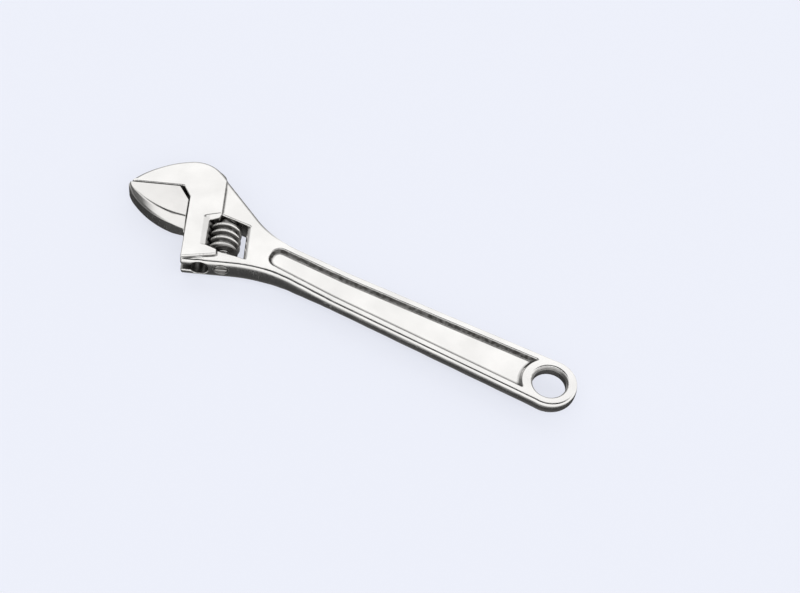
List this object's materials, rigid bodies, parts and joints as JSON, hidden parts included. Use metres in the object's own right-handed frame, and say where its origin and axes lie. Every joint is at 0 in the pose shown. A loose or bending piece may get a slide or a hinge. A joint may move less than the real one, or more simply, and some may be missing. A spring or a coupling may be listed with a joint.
{
  "type": "adjustable wrench",
  "caption": "Adjustable wrench with a fixed jaw, a sliding jaw on a round toothed rack, a knurled screw in a window and a recessed handle with a hanging hole.",
  "frame": {"origin": "centre of the hanging hole, at mid thickness", "axes": "+X along the handle towards the jaws, +Y to the side that the sliding jaw opens towards, +Z out of the flat face along the hanging hole's axis"},
  "size_m": [0.2027, 0.0493, 0.013],
  "materials": {
    "plated_steel": "bright nickel-chrome plating on a forged body",
    "plated_jaw": "bright plating, ground flats",
    "knurl_steel": "plated, turned thread",
    "pin_steel": "turned",
    "spring_steel": "drawn wire"
  },
  "bodies": {
    "frame": {"body": "plated_steel", "knurl_pin": "pin_steel", "knurl_spring": "spring_steel"},
    "jaw": {"movable_jaw": "plated_jaw"},
    "screw": {"knurl": "knurl_steel"}
  },
  "joints": [
    {"name": "jaw_slide", "type": "slide", "parent": "frame", "child": "jaw", "axis": [-0.3947, 0.9188, 0], "range_m": [0, 0.024]},
    {"name": "knurl_spin", "type": "hinge", "parent": "frame", "child": "screw", "pos_m": [0.14385, 0.00061, 0], "axis": [-0.3947, 0.9188, 0], "range_deg": [0, 2580]}
  ],
  "couplings": [
    {"joint": "knurl_spin", "follows": "jaw_slide", "rad_per_m": 1875.6}
  ]
}
